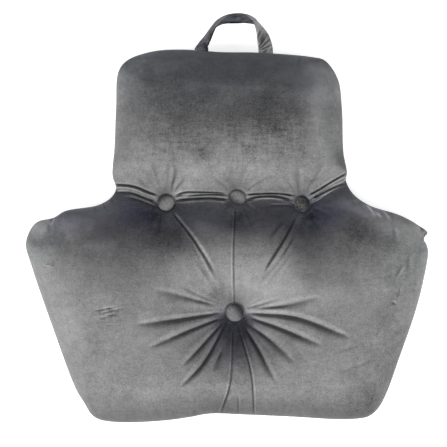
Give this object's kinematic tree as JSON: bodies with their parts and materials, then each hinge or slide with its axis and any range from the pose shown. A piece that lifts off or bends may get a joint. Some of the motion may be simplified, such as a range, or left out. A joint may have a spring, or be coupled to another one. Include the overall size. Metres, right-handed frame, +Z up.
{
  "type": "back cushion",
  "caption": "T-shaped velvet back cushion with a head section, a button-tufted waist, radiating tufting folds in a wide lower body and a twisted carry loop on top.",
  "frame": {"origin": "on the floor, under the middle of the whole part", "axes": "+Z up out of the tufted face, +Y towards the head and the carry loop, +X to the right seen from the face"},
  "size_m": [0.804, 0.8187, 0.1236],
  "materials": {
    "velvet": "short-pile velvet",
    "button_cover": "short-pile velvet stretched over a dome",
    "strap": "short-pile velvet strap"
  },
  "bodies": {
    "root": {"cushion": "velvet", "button_left": "button_cover", "button_middle": "button_cover", "button_right": "button_cover", "button_lower": "button_cover", "handle": "strap"}
  },
  "joints": []
}
